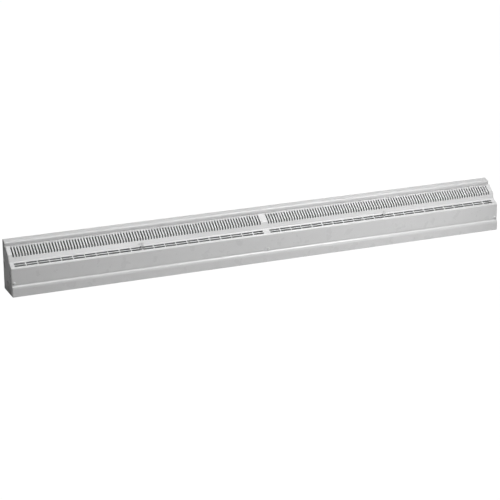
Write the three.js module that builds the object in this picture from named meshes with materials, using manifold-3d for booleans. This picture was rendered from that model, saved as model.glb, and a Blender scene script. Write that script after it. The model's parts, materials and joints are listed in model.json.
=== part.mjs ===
// A baseboard heating-air outlet, four feet long: a folded steel case that stands on the floor
// against a wall, with a slotted face, a toe strip, two end caps and two dampers inside.
// Millimetres. X runs along the length, the wall is on the +Y side, Z is up from the floor,
// and the origin is at the middle of the length and depth, on the floor.
import * as THREE from "three";
import { mergeGeometries, mergeVertices } from "three/addons/utils/BufferGeometryUtils.js";
import Module from "manifold-3d";

const wasm = await Module();
wasm.setup();

// Driving dimensions. A point of the cross-section is [depth out from the wall, height].
const LENGTH = 1219.2;
const DEPTH = 68;
const HEIGHT = 114.3;
const SHEET = 1;
const THIN_SHEET = 0.8;
const GAP = 0.3;
const WALL_Y = DEPTH / 2;
const CAP_X = LENGTH / 2 - SHEET;
const SHELL_X = CAP_X - GAP;

// Outer surfaces of the three long folded sheets, from the wall round to the front.
// The third number of a corner is its bend radius.
const FLOOR_LIP = 14;
const REAR_PATH = [
  [FLOOR_LIP, 0],
  [0, 0, 1.5],
  [0, HEIGHT, 0.6],
  [2, HEIGHT],
  [17.9, 111.4, 3.6],
  [17.9, 107.4, 2],
  [16.2, 100.4, 1],
  [21, 99.1],
];
const PANEL_DEPTH = 64;
const FACE_BOTTOM = 26.6;
const FACE_PATH = [
  [19.8, 101.2],
  [21.2, 103.5, 1.3],
  [41.3, 89.3],
  [46.3, 73.6, 2.4],
  [PANEL_DEPTH, 65.1, 4.5],
  [PANEL_DEPTH, FACE_BOTTOM],
];
const PANEL_BACK = PANEL_DEPTH - SHEET;
const TOE_FLANGE = PANEL_BACK - GAP;
const SHOULDER = 26.4;
const TOE_PATH = [
  [TOE_FLANGE, 38],
  [TOE_FLANGE, SHOULDER, 0.6],
  [67, 23, 2.6],
  [DEPTH, 18.5, 3],
  [DEPTH, 0, 0.8],
  [DEPTH - FLOOR_LIP, 0],
];

// Slots in the face: upright ones in two groups with a plain middle, and two rows of dashes.
const CENTRE_GAP = 14.3;
const HALF_SPAN = 594;
const SLOTS_PER_HALF = 89;
const SLOT_PITCH = HALF_SPAN / SLOTS_PER_HALF;
const SLOT_WIDTH = 3.2;
const SLOT_WINDOW = [
  [23.9, 104.1],
  [45.2, 91.5],
  [45, 84.4],
  [39.3, 82.6],
  [20.4, 99.2],
];
const DASHES_PER_HALF = 22;
const DASH_PITCH = HALF_SPAN / DASHES_PER_HALF;
const DASH_WEB = 2.2;
const DASH_HEIGHT = 4.2;
const DASH_ROWS = [51.9, 57.8];
const CUT_DEPTH = 3;

// Dampers. Each blade turns on a line along X; a lever stands on it and passes through the face.
const PIVOT = [44, 60];
const REST_OPEN = 22;
const LEVER_X = CENTRE_GAP / 2 + HALF_SPAN / 2;
const LEVER_RIVET_X = LEVER_X + 6;
const LEVER_WIDTH = 5.5;
const LEVER_SLOT = 6.5;
const LEVER_SWEEP = [40.5, 75];
const BLADE_PATH = [
  [-40, -0.5],
  [-40, -4.2, 1],
  [17.5, -4.2, 1],
  [17.5, -8.5],
];
const BLADE_TOP = -4.2;
const BLADE_OUTER_X = 598.2;
const BLADE_INNER_X = 15.9;
const EAR = { foot: 10, top: 5, height: 4.5 };
const PIN_RADIUS = 2;
const PIN_HEAD = 3.5;
const PIN_REACH = 4.5;
const RUNNING_HOLE = 2.12;
const FIXED_HOLE = PIN_RADIUS + GAP;
const BRACKET_SHEET = 1.2;
const BRACKET = { root: 11, arm: 6, tip: 3, nose: 4, outerFlange: 7.5, innerFlange: 9, rivetIn: 3.8 };
const WASHER = { thickness: 0.7, radius: 5 };

// Fixings.
const RIVET = { shank: 1.5, head: 2.5, hole: 1.8, rise: 1 };
const SCREW = { shank: 1.6, head: 3.2, hole: 2, rise: 2, length: 8, tip: 2, z: 31 };
const PAN_HEAD = [
  [0, 1],
  [0.55, 0.9],
  [1, 0.35],
  [1, 0],
];
const SCREW_X = LENGTH / 2 - 5;
const CLIP = { half: 3.5, thickness: 0.8, below: 4, above: 6 };
const WALL_HOLE = { radius: 2.75, z: 22, xs: [-450, -150, 150, 450] };
const ROUND = 20;
const HOLE_ROUND = 12;

const WHITE = { color: 0xe9e9e7, roughness: 0.38, metalness: 0 };
const ZINC = { color: 0xa9adb0, roughness: 0.45, metalness: 0.9 };
const SPRING_STEEL = { color: 0x6d7074, roughness: 0.4, metalness: 0.9 };

// Shape x, shape y and the extrusion become depth (-Y), height (Z) and -X.
const SECTION = new THREE.Matrix4().makeBasis(
  new THREE.Vector3(0, -1, 0),
  new THREE.Vector3(0, 0, 1),
  new THREE.Vector3(-1, 0, 0),
);

// ---- solids ----

function solid(geometry) {
  geometry.deleteAttribute("normal");
  geometry.deleteAttribute("uv");
  const merged = mergeVertices(geometry, 1e-4);
  return new wasm.Manifold(
    new wasm.Mesh({
      numProp: 3,
      vertProperties: merged.attributes.position.array,
      triVerts: new Uint32Array(merged.index.array),
    }),
  );
}

function prism(points, xa, xb, wallY = WALL_Y) {
  const shape = new THREE.Shape(points.map((p) => new THREE.Vector2(p[0], p[1])));
  const depth = Math.abs(xb - xa);
  const geometry = new THREE.ExtrudeGeometry(shape, { depth, bevelEnabled: false });
  return geometry.applyMatrix4(SECTION).translate(Math.max(xa, xb), wallY, 0);
}

const slab = (points, xa, xb, wallY) => solid(prism(points, xa, xb, wallY));

function box(x, depth, z, wallY) {
  const outline = [
    [depth[0], z[0]],
    [depth[1], z[0]],
    [depth[1], z[1]],
    [depth[0], z[1]],
  ];
  return slab(outline, x[0], x[1], wallY);
}

// A turned piece on the Y axis from [radius, y] points; the first and last are on the axis.
function turned(profile, segments = ROUND) {
  const points = profile.map(([r, y]) => new THREE.Vector2(r, y));
  return new THREE.LatheGeometry(points, segments);
}

function rod(radius, from, to, segments) {
  const profile = [
    [0, from],
    [radius, from],
    [radius, to],
    [0, to],
  ];
  return turned(profile, segments);
}

// A cutter along Y between two depths from the wall.
function drill(x, z, radius, depths) {
  const cutter = rod(radius, WALL_Y - depths[1], WALL_Y - depths[0], HOLE_ROUND);
  return solid(cutter.translate(x, 0, z));
}

// A rod along X about the frame's own X axis.
function pivotRod(radius, xa, xb) {
  const [low, high] = [Math.min(xa, xb), Math.max(xa, xb)];
  return rod(radius, low, high).rotateZ(-Math.PI / 2);
}

const atPivot = (geometry) => geometry.translate(0, WALL_Y - PIVOT[0], PIVOT[1]);

const union = (parts) => parts.reduce((sum, part) => sum.add(part));

function mesh(name, body, finish) {
  const { vertProperties, triVerts } = body.getMesh();
  const geometry = new THREE.BufferGeometry();
  geometry.setAttribute("position", new THREE.BufferAttribute(vertProperties, 3));
  geometry.setIndex(new THREE.BufferAttribute(triVerts, 1));
  geometry.computeVertexNormals();
  const result = new THREE.Mesh(geometry, new THREE.MeshStandardMaterial(finish));
  result.name = name;
  return result;
}

// ---- folded sheet ----

// The path with each corner that has a radius turned into a short curve.
function bend(path, steps = 3) {
  return path.flatMap(([d, z, radius], i) => {
    const corner = new THREE.Vector2(d, z);
    if (!radius) return [corner];
    const toward = (p) => new THREE.Vector2(p[0], p[1]).sub(corner).normalize();
    const [back, ahead] = [toward(path[i - 1]), toward(path[i + 1])];
    const reach = radius / Math.tan(back.angleTo(ahead) / 2);
    const from = corner.clone().addScaledVector(back, reach);
    const to = corner.clone().addScaledVector(ahead, reach);
    return new THREE.QuadraticBezierCurve(from, corner, to).getPoints(steps);
  });
}

// The closed section of a sheet whose outer surface is the path: its thickness lies to the right.
function sheetSection(points, thickness) {
  const right = (a, b) => {
    const run = b.clone().sub(a).normalize();
    return new THREE.Vector2(run.y, -run.x);
  };
  const inner = points.map((point, i) => {
    const n = right(points[Math.max(i - 1, 0)], points[Math.max(i, 1)]);
    const last = points.length - 1;
    const m = right(points[Math.min(i, last - 1)], points[Math.min(i + 1, last)]);
    const mitre = n.clone().add(m).multiplyScalar(thickness / (1 + n.dot(m)));
    return point.clone().add(mitre);
  });
  return [...points, ...inner.reverse()].map((p) => [p.x, p.y]);
}

const foldedSheet = (path, steps) =>
  slab(sheetSection(bend(path, steps), SHEET), -SHELL_X, SHELL_X);

// ---- case ----

const RIVET_ZS = [21, 84];
const TAB = { reach: 8, half: 10 };
const TAB_DEPTHS = [SHEET + GAP, 2 * SHEET + GAP];
const FLOOR_TAB_ZS = [SHEET + GAP, 2 * SHEET + GAP];
const FLOOR_TAB_DEPTHS = [18, 50];
const CAP_EDGE = { reach: 4, zs: [42, 58] };
const SUPPORT_WEB_ZS = [40, 60];
const FLANGE_RELIEF = { depths: [52, 70], zs: [24, 38.5] };
const SUPPORT_X = 4;
const BRACKET_OUTER_X = 600;
const BRACKET_INNER_X = 13.4;

// Places of the rivets that hold tabs to the rear panel.
const capRivetX = CAP_X - TAB.reach / 2 - 0.5;
const supportRivetX = SUPPORT_X + TAB.reach / 2;
const bracketRivetXs = [
  BRACKET_OUTER_X + BRACKET.outerFlange - BRACKET.rivetIn,
  BRACKET_INNER_X - BRACKET.innerFlange + BRACKET.rivetIn,
];
const rearRivets = [-1, 1].flatMap((side) => [
  ...RIVET_ZS.map((z) => [side * capRivetX, z]),
  ...RIVET_ZS.map((z) => [side * supportRivetX, z]),
  ...bracketRivetXs.map((x) => [side * x, PIVOT[1]]),
]);

function rearPanel() {
  const sheet = foldedSheet(REAR_PATH);
  const through = [-SHEET, 2 * SHEET];
  const holes = rearRivets.map(([x, z]) => drill(x, z, RIVET.hole, through));
  const fixings = WALL_HOLE.xs.map((x) => drill(x, WALL_HOLE.z, WALL_HOLE.radius, through));
  return sheet.subtract(union([...holes, ...fixings]));
}

// Where the dashes of one half start and end along X.
const dashRanges = Array.from({ length: DASHES_PER_HALF }, (_, i) => {
  const start = CENTRE_GAP / 2 + i * DASH_PITCH;
  return [start + DASH_WEB / 2, start + DASH_PITCH - DASH_WEB / 2];
});

// The window that a dash row punches through the sloping band, at one depth from the wall.
function dashWindow(depth) {
  const [top, bottom] = [FACE_PATH[3], FACE_PATH[4]];
  const slope = new THREE.Vector2(bottom[0] - top[0], bottom[1] - top[1]);
  const centre = [depth, top[1] + ((depth - top[0]) * slope.y) / slope.x];
  const run = slope.normalize().multiplyScalar(DASH_HEIGHT / 2);
  const through = new THREE.Vector2(-run.y, run.x).setLength(CUT_DEPTH);
  return [
    [1, 1],
    [1, -1],
    [-1, -1],
    [-1, 1],
  ].map(([a, b]) => [
    centre[0] + a * run.x + b * through.x,
    centre[1] + a * run.y + b * through.y,
  ]);
}

// The part of a circle about the pivot that the lever sweeps through the sloping band.
function leverWindow() {
  const [inner, outer] = [8, 18];
  const at = (radius, degrees) => {
    const angle = THREE.MathUtils.degToRad(degrees);
    return [PIVOT[0] + radius * Math.cos(angle), PIVOT[1] + radius * Math.sin(angle)];
  };
  const [low, high] = LEVER_SWEEP;
  return [at(inner, low), at(outer, low), at(outer, high), at(inner, high)];
}

const PANEL_DRILL = [PANEL_BACK - SHEET, PANEL_DEPTH + SHEET];
const FLANGE_DRILL = [TOE_FLANGE - 2 * SHEET, TOE_FLANGE + SHEET];

function facePanel() {
  const cuts = [];
  const openings = [-SCREW_X, 0, SCREW_X].map((x) => drill(x, SCREW.z, SCREW.hole, PANEL_DRILL));
  for (const side of [-1, 1]) {
    for (let i = 0; i < SLOTS_PER_HALF; i++) {
      const x = side * (CENTRE_GAP / 2 + (i + 0.5) * SLOT_PITCH);
      cuts.push(prism(SLOT_WINDOW, x - SLOT_WIDTH / 2, x + SLOT_WIDTH / 2));
    }
    for (const depth of DASH_ROWS) {
      for (const [start, end] of dashRanges) {
        cuts.push(prism(dashWindow(depth), side * start, side * end));
      }
    }
    const lever = side * LEVER_X;
    openings.push(slab(leverWindow(), lever - LEVER_SLOT / 2, lever + LEVER_SLOT / 2));
  }
  return foldedSheet(FACE_PATH, 1)
    .subtract(solid(mergeGeometries(cuts)))
    .subtract(union(openings));
}

function toeStrip() {
  const screws = [-SCREW_X, 0, SCREW_X].map((x) => drill(x, SCREW.z, SCREW.hole, FLANGE_DRILL));
  return foldedSheet(TOE_PATH).subtract(union(screws));
}

// The tabs that a plate has: two against the rear panel for rivets, and one along the floor.
function tabs(side, from, to) {
  const xs = [side * from, side * to];
  const rear = RIVET_ZS.map((z) => box(xs, TAB_DEPTHS, [z - TAB.half, z + TAB.half]));
  return [...rear, box(xs, FLOOR_TAB_DEPTHS, FLOOR_TAB_ZS)];
}

const TAB_DRILL = [0, 4];
const rivetHoles = (x, zs) => union(zs.map((z) => drill(x, z, RIVET.hole, TAB_DRILL)));

// The cap covers the whole outline of the case, with a nick at the seam above the toe strip.
function endCap(side) {
  const rear = bend(REAR_PATH).filter((p) => p.y > 0 || p.x < FLOOR_LIP);
  const face = bend(FACE_PATH, 2).slice(1);
  const toe = bend(TOE_PATH).filter((p) => p.y <= SHOULDER && p.x > TOE_FLANGE);
  const nick = new THREE.Vector2(PANEL_BACK, FACE_BOTTOM);
  const outline = [...rear.slice(0, -1), ...face, nick, ...toe.slice(0, -1)];
  const points = outline.map((p) => [p.x, p.y]);
  const plate = slab(points, side * CAP_X, side * (CAP_X + SHEET));
  const turned = tabs(side, CAP_X - TAB.reach, CAP_X + SHEET / 2);
  const edgeX = [side * (CAP_X + SHEET / 2), side * (CAP_X - CAP_EDGE.reach)];
  const edge = box(edgeX, [TOE_FLANGE - SHEET, TOE_FLANGE], CAP_EDGE.zs);
  return union([plate, ...turned, edge]).subtract(rivetHoles(side * capRivetX, RIVET_ZS));
}

// A channel at mid length: two side plates, a front web behind the face, tabs and a foot.
function centreSupport() {
  const side = [
    [TAB_DEPTHS[0], FLOOR_TAB_ZS[0]],
    [TAB_DEPTHS[0], 96],
    [20, 96],
    [39, 87.5],
    [44, 72],
    [TOE_FLANGE - SHEET, 63],
    [TOE_FLANGE - SHEET, FLOOR_TAB_ZS[0]],
  ];
  const parts = [
    box([-SUPPORT_X, SUPPORT_X], [TOE_FLANGE - 1.5 * SHEET, TOE_FLANGE], SUPPORT_WEB_ZS),
    box([-SUPPORT_X, SUPPORT_X], [3, TOE_FLANGE - SHEET], FLOOR_TAB_ZS),
  ];
  for (const s of [-1, 1]) {
    parts.push(slab(side, s * SUPPORT_X, s * (SUPPORT_X - SHEET)));
    parts.push(...tabs(s, SUPPORT_X - SHEET / 2, SUPPORT_X + TAB.reach));
  }
  const holes = [-1, 1].map((s) => rivetHoles(s * supportRivetX, RIVET_ZS));
  const { depths, zs } = FLANGE_RELIEF;
  const relief = box([-SUPPORT_X - 1, SUPPORT_X + 1], depths, zs);
  return union(parts).subtract(union([...holes, relief]));
}

const floorTie = (x) => box([x - 10, x + 10], [3, DEPTH - 3], FLOOR_TAB_ZS);

// ---- dampers ----

// A plate beside the blade's end, from the rear panel out to the pivot, with a riveted flange.
function pivotBracket(plateX, flangeX, rivetX) {
  const [d, z] = PIVOT;
  const { root, arm, tip, nose } = BRACKET;
  const outline = [
    [TAB_DEPTHS[0], z - root],
    [d - nose, z - arm],
    [d + nose, z - arm],
    [d + arm, z - tip],
    [d + arm, z + tip],
    [d + nose, z + arm],
    [d - nose, z + arm],
    [TAB_DEPTHS[0], z + root],
  ];
  const flange = box([plateX[0], flangeX], TAB_DEPTHS, [z - root, z + root]);
  const hole = solid(atPivot(pivotRod(FIXED_HOLE, plateX[0] - 3, plateX[0] + 3)));
  return slab(outline, ...plateX).add(flange).subtract(hole).subtract(rivetHoles(rivetX, [z]));
}

// Head outside the bracket, shank through the bracket and the blade's ear.
function pivotPin(headX, tipX) {
  const towardTip = Math.sign(tipX - headX);
  const head = pivotRod(PIN_HEAD, headX, headX + towardTip);
  const shank = pivotRod(PIN_RADIUS, headX + 0.5 * towardTip, tipX);
  return solid(atPivot(head)).add(solid(atPivot(shank)));
}

// A spring washer between a blade's inner ear and its bracket; it holds the blade where it is put.
function frictionWasher(x) {
  const disc = solid(atPivot(pivotRod(WASHER.radius, x, x - Math.sign(x) * WASHER.thickness)));
  const bore = solid(atPivot(pivotRod(FIXED_HOLE, x - CUT_DEPTH, x + CUT_DEPTH)));
  return disc.subtract(bore);
}

// The hole for the lever's rivet, through the blade and the lever's foot.
function leverBore(side) {
  const bore = rod(RIVET.hole, 2 * BLADE_TOP, 0).rotateX(Math.PI / 2);
  return solid(bore.translate(side * LEVER_RIVET_X, 0, 0));
}

// With the damper shut the blade lies flat below the pivot line; its ears rise past the pins.
function damperBlade(side) {
  const ends = [side * BLADE_OUTER_X, side * (BLADE_INNER_X + 1)];
  const sheet = slab(sheetSection(bend(BLADE_PATH), THIN_SHEET), ...ends, 0);
  const ear = [
    [-EAR.foot, BLADE_TOP - THIN_SHEET / 2],
    [EAR.foot, BLADE_TOP - THIN_SHEET / 2],
    [EAR.top, EAR.height],
    [-EAR.top, EAR.height],
  ];
  const ears = [
    [ends[0], ends[0] - side],
    [ends[1], ends[1] + side],
  ].map(([a, b]) => slab(ear, a, b, 0));
  const bores = ends.map((x) => solid(pivotRod(RUNNING_HOLE, x - 3, x + 3)));
  return union([sheet, ...ears]).subtract(union([...bores, leverBore(side)]));
}

// A strip bent up from a foot on the blade, out through the face, and back into a thumb pad.
const LEVER_STRIP = [
  [-1.6, BLADE_TOP + GAP],
  [2.9, BLADE_TOP + GAP],
  [3.7, 3],
  [5.4, 12.5],
  [7, 19],
  [2.7, 26.6],
  [1.5, 26],
  [5.5, 18.7],
  [4.1, 12.7],
  [2.4, 3.3],
  [2, BLADE_TOP + GAP + SHEET],
  [-1.6, BLADE_TOP + GAP + SHEET],
];
const LEVER_FOOT = { reach: 10, half: 5 };

function damperLever(side) {
  const x = side * LEVER_X;
  const strip = slab(LEVER_STRIP, x - LEVER_WIDTH / 2, x + LEVER_WIDTH / 2, 0);
  const footX = [x - side * (LEVER_WIDTH / 2), x + side * LEVER_FOOT.reach];
  const footDepths = [-LEVER_FOOT.half, 2];
  const foot = box(footX, footDepths, [BLADE_TOP + GAP, BLADE_TOP + GAP + SHEET], 0);
  return strip.add(foot).subtract(leverBore(side));
}

// ---- fixings ----

// A rivet on the Y axis: the head is on the room side of a tab on the rear panel.
function rivet(x, z) {
  const [tip, neck] = [WALL_Y - 0.2, WALL_Y - TAB_DEPTHS[1] - GAP];
  const profile = [
    [0, neck - RIVET.rise],
    [RIVET.head * 0.6, neck - RIVET.rise],
    [RIVET.head, neck - 0.3],
    [RIVET.head, neck],
    [RIVET.shank, neck],
    [RIVET.shank, tip],
    [0, tip],
  ];
  return solid(turned(profile, 16).translate(x, 0, z));
}

function leverRivet(side) {
  const neck = BLADE_TOP + 2 * GAP + SHEET;
  const profile = [
    [0, BLADE_TOP - THIN_SHEET],
    [RIVET.shank, BLADE_TOP - THIN_SHEET],
    [RIVET.shank, neck],
    [RIVET.head, neck],
    [RIVET.head * 0.6, neck + RIVET.rise],
    [0, neck + RIVET.rise],
  ];
  const body = turned(profile, 16).rotateX(Math.PI / 2);
  return solid(body.translate(side * LEVER_RIVET_X, 0, 0));
}

function faceScrew(x) {
  const seat = WALL_Y - PANEL_BACK - SHEET - GAP;
  const profile = [
    ...PAN_HEAD.map(([r, rise]) => [r * SCREW.head, seat - rise * SCREW.rise]),
    [SCREW.shank, seat],
    [SCREW.shank, seat + SCREW.length - SCREW.tip],
    [0, seat + SCREW.length],
  ];
  return solid(turned(profile).translate(x, 0, SCREW.z));
}

function faceClip(x) {
  const back = TOE_FLANGE - SHEET - GAP - CLIP.thickness;
  const xs = [x - CLIP.half, x + CLIP.half];
  const zs = [SCREW.z - CLIP.below, SCREW.z + CLIP.above];
  const plate = box(xs, [back, back + CLIP.thickness], zs);
  return plate.subtract(drill(x, SCREW.z, SCREW.hole, [back - 1, back + 2 * CLIP.thickness]));
}

// ---- assembly ----

const part = new THREE.Group();
const add = (name, body, finish, parent = part) => parent.add(mesh(name, body, finish));
const LEVELS = ["lower", "upper"];

add("rear_panel", rearPanel(), WHITE);
add("face_panel", facePanel(), WHITE);
add("toe_strip", toeStrip(), WHITE);
add("centre_support", centreSupport(), ZINC);
for (const [label, x] of [
  ["left", -SCREW_X],
  ["centre", 0],
  ["right", SCREW_X],
]) {
  add(`face_screw_${label}`, faceScrew(x), WHITE);
  add(`face_clip_${label}`, faceClip(x), SPRING_STEEL);
}

for (const [label, side] of [
  ["left", -1],
  ["right", 1],
]) {
  add(`end_cap_${label}`, endCap(side), WHITE);
  add(`floor_tie_${label}`, floorTie(side * LEVER_X), ZINC);
  RIVET_ZS.forEach((z, i) => {
    add(`cap_rivet_${label}_${LEVELS[i]}`, rivet(side * capRivetX, z), ZINC);
    add(`support_rivet_${label}_${LEVELS[i]}`, rivet(side * supportRivetX, z), ZINC);
  });

  const outer = side * BRACKET_OUTER_X;
  const inner = side * BRACKET_INNER_X;
  const outerPlate = [outer, outer - side * BRACKET_SHEET];
  const innerPlate = [inner, inner + side * BRACKET_SHEET];
  const [outerRivet, innerRivet] = bracketRivetXs.map((x) => side * x);
  const outerEdge = outer + side * BRACKET.outerFlange;
  const innerEdge = inner - side * BRACKET.innerFlange;
  const outerBracket = pivotBracket(outerPlate, outerEdge, outerRivet);
  const innerBracket = pivotBracket(innerPlate, innerEdge, innerRivet);
  add(`pivot_bracket_${label}_outer`, outerBracket, ZINC);
  add(`pivot_bracket_${label}_inner`, innerBracket, ZINC);
  add(`bracket_rivet_${label}_outer`, rivet(outerRivet, PIVOT[1]), ZINC);
  add(`bracket_rivet_${label}_inner`, rivet(innerRivet, PIVOT[1]), ZINC);
  const headOff = side * (1 + GAP);
  const tipOff = side * PIN_REACH;
  add(`pivot_pin_${label}_outer`, pivotPin(outer + headOff, outer - tipOff), ZINC);
  add(`pivot_pin_${label}_inner`, pivotPin(inner - headOff, inner + tipOff), ZINC);
  add(`friction_washer_${label}`, frictionWasher(side * (BLADE_INNER_X - GAP)), SPRING_STEEL);

  const damper = new THREE.Group();
  damper.position.set(0, WALL_Y - PIVOT[0], PIVOT[1]);
  damper.rotation.x = THREE.MathUtils.degToRad(REST_OPEN);
  add(`damper_blade_${label}`, damperBlade(side), ZINC, damper);
  add(`damper_lever_${label}`, damperLever(side), WHITE, damper);
  add(`lever_rivet_${label}`, leverRivet(side), ZINC, damper);
  part.add(damper);
}

export default part;
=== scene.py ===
import json
from math import cos, pi, radians, sin, tan

import bmesh
import bpy
from bpy.props import FloatProperty, FloatVectorProperty, IntProperty, PointerProperty
from mathutils import Matrix, Vector


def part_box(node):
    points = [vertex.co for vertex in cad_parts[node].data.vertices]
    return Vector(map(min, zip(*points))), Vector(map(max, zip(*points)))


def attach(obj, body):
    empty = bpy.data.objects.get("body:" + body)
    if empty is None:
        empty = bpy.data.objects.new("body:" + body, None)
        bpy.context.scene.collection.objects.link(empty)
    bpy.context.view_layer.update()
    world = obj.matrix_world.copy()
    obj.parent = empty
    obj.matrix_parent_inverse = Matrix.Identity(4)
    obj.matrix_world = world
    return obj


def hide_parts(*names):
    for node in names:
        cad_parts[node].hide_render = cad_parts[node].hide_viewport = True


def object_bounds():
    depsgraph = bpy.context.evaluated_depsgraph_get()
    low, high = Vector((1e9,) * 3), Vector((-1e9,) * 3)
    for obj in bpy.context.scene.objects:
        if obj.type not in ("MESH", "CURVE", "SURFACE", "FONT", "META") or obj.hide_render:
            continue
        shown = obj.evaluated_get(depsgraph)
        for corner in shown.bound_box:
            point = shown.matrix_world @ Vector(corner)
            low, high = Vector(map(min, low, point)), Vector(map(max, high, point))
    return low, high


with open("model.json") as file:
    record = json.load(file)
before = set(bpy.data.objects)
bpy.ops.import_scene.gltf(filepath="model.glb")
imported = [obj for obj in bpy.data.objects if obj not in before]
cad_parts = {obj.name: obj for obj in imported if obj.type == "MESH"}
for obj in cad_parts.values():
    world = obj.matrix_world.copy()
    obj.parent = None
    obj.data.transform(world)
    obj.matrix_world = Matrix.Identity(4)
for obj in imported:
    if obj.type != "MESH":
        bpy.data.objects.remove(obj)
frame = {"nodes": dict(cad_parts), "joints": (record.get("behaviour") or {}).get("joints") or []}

bl_info = {
    "name": "Baseboard air outlet",
    "version": (1, 0, 0),
    "blender": (4, 5, 0),
    "location": "3D View > Sidebar > Air outlet",
    "description": "Builds the pressed sheets, levers, screws and finishes of a baseboard air outlet",
    "category": "Object",
}

MM = 0.001
CAD_LOW, CAD_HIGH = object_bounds()
WALL = CAD_HIGH.y
CASE = "case"
WHITE, ZINC, SPRING = "white_paint", "zinc_sheet", "spring_steel"
SIDES = {"left": -1, "right": 1}


def size(node, axis):
    """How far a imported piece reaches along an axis, in millimetres."""
    low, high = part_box(node)
    return (high[axis] - low[axis]) / MM


# The bent sheets, as corners of their outer surface in millimetres: depth out from the wall,
# height above the floor and bend radius. The sheet's thickness lies to the right of the path.
CASE_DEPTH = (WALL - CAD_LOW.y) / MM
CASE_HEIGHT = CAD_HIGH.z / MM
SHELL_END = size("face_panel", 0) / 2
CAP_OUTSIDE = CAD_HIGH.x / MM
FLOOR_LIP = 14
REAR_BENDS = [
    (FLOOR_LIP, 0),
    (0, 0, 1.5),
    (0, CASE_HEIGHT, 0.6),
    (2, CASE_HEIGHT),
    (17.9, 111.4, 3.6),
    (17.9, 107.4, 2),
    (16.2, 100.4, 1.2),
    (21, 99.1),
]
# Below this height the inside of the back sheet carries painted shade.
SHADE_PAINT_HEIGHT = 98.9
PANEL_DEPTH = 64
PANEL_FOOT = 26.6
FACE_BENDS = [
    (19.8, 101.2),
    (21.2, 103.5, 1.3),
    (41.3, 89.3, 2.4),
    (46.3, 73.6, 2.6),
    (PANEL_DEPTH, 65.1, 4.6),
    (PANEL_DEPTH, PANEL_FOOT),
]
TOE_FLANGE = 62.7
SHOULDER = 26.4
TOE_BENDS = [
    (TOE_FLANGE, 38),
    (TOE_FLANGE, SHOULDER, 0.6),
    (67, 23, 2.8),
    (CASE_DEPTH, 18.5, 3.4),
    (CASE_DEPTH, 0, 0.8),
    (CASE_DEPTH - FLOOR_LIP, 0),
]

# Where the punched slots start and end on the face.
SLOT_TOP, SLOT_FOOT = (22.7, 102.4), (43.05, 83.8)
LEVER_SLOT_TOP, LEVER_SLOT_FOOT = (47.5, 73), (55, 69.4)
DASH_DEPTHS = (51.9, 57.8)
CENTRE_GAP = 14.3
HALF_SPAN = 594
LEVER_X = (CENTRE_GAP + HALF_SPAN) / 2
SCREW_HEIGHT = 31
SCREW_END = 5
SCREW_TIP = 2
SCREW_SHANK = 1.6
SCREW_CROSS = (0.5, 1.9, 1.1)

# Holes and tabs that hold the sheets together.
WALL_HOLES, WALL_HOLE_HEIGHT, WALL_HOLE_RADIUS = (-450, -150, 150, 450), 22, 2.75
RIVET_HOLE = 1.8
SCREW_HOLE = 2
TAB_HEIGHTS, TAB_HALF = (21, 84), 10
FLOOR_TAB, EDGE_TAB, EDGE_TAB_REACH = (18, 50), (42, 58), 4
GAP = 0.3


# ---------------------------------------------------------------- shapes of bent sheet


def turned(vector, angle):
    return Vector(
        (vector.x * cos(angle) - vector.y * sin(angle), vector.x * sin(angle) + vector.y * cos(angle))
    )


def outward(run):
    """The side of a run that faces out of the case."""
    return Vector((-run.y, run.x))


class Section:
    """The outer surface of a bent sheet, seen from its end: points, normals and distance along it."""

    def __init__(self, corners, step=radians(10)):
        self.points, self.normals = [], []
        last = len(corners) - 1
        spots = [Vector(c[:2]) for c in corners]
        for i, here in enumerate(spots):
            before = (here - spots[max(i - 1, 0)]).normalized()
            after = (spots[min(i + 1, last)] - here).normalized()
            if i in (0, last):
                self._add(here, after if i == 0 else before)
            elif len(corners[i]) == 2:
                self._add(here, (before + after).normalized())
            else:
                self._bend(here, before, after, corners[i][2], step)
        self.along = [0.0]
        for a, b in zip(self.points, self.points[1:]):
            self.along.append(self.along[-1] + (b - a).length)

    def _add(self, point, run):
        self.points.append(point)
        self.normals.append(outward(run))

    def _bend(self, corner, before, after, radius, step):
        turn = before.angle_signed(after) * -1
        reach = radius * tan(abs(turn) / 2)
        start = corner - before * reach
        centre = start + outward(before) * radius * (1 if turn > 0 else -1)
        steps = max(2, round(abs(turn) / step))
        for k in range(steps + 1):
            angle = turn * k / steps
            self._add(centre + turned(start - centre, angle), turned(before, angle))

    def at(self, distance):
        """Point and normal at a distance along the sheet."""
        for i, end in enumerate(self.along[1:]):
            if distance <= end or i == len(self.along) - 2:
                share = (distance - self.along[i]) / (end - self.along[i])
                point = self.points[i].lerp(self.points[i + 1], share)
                return point, self.normals[i].lerp(self.normals[i + 1], share).normalized()

    def nearest(self, spot):
        """Distance along the sheet of the place nearest to a spot."""
        spot, best = Vector(spot), (1e9, 0)
        for i, (a, b) in enumerate(zip(self.points, self.points[1:])):
            run = b - a
            share = min(1, max(0, (spot - a).dot(run) / run.length_squared))
            best = min(best, ((a + run * share - spot).length, self.along[i] + run.length * share))
        return best[1]

    def ring(self, thickness):
        """The closed outline of the sheet's end."""
        inner = [p - n * thickness for p, n in zip(self.points, self.normals)]
        return self.points + inner[::-1]


def place(x, depth, height):
    """A point of the case in metres, from millimetres along, out from the wall and up."""
    return Vector((x * MM, WALL - depth * MM, height * MM))


def new_object(name, mesh):
    thing = bpy.data.objects.new(name, mesh)
    bpy.context.scene.collection.objects.link(thing)
    return thing


def mesh_object(name, vertices, faces):
    mesh = bpy.data.meshes.new(name)
    mesh.from_pydata(vertices, [], faces)
    tidy_mesh(mesh)
    return new_object(name, mesh)


def tidy_mesh(mesh):
    """Merges doubled points, drops loose ones and turns every face outward."""
    work = bmesh.new()
    work.from_mesh(mesh)
    bmesh.ops.remove_doubles(work, verts=work.verts, dist=1e-7)
    bmesh.ops.delete(work, geom=[v for v in work.verts if not v.link_faces], context="VERTS")
    bmesh.ops.recalc_face_normals(work, faces=work.faces)
    work.to_mesh(mesh)
    work.free()


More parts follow.
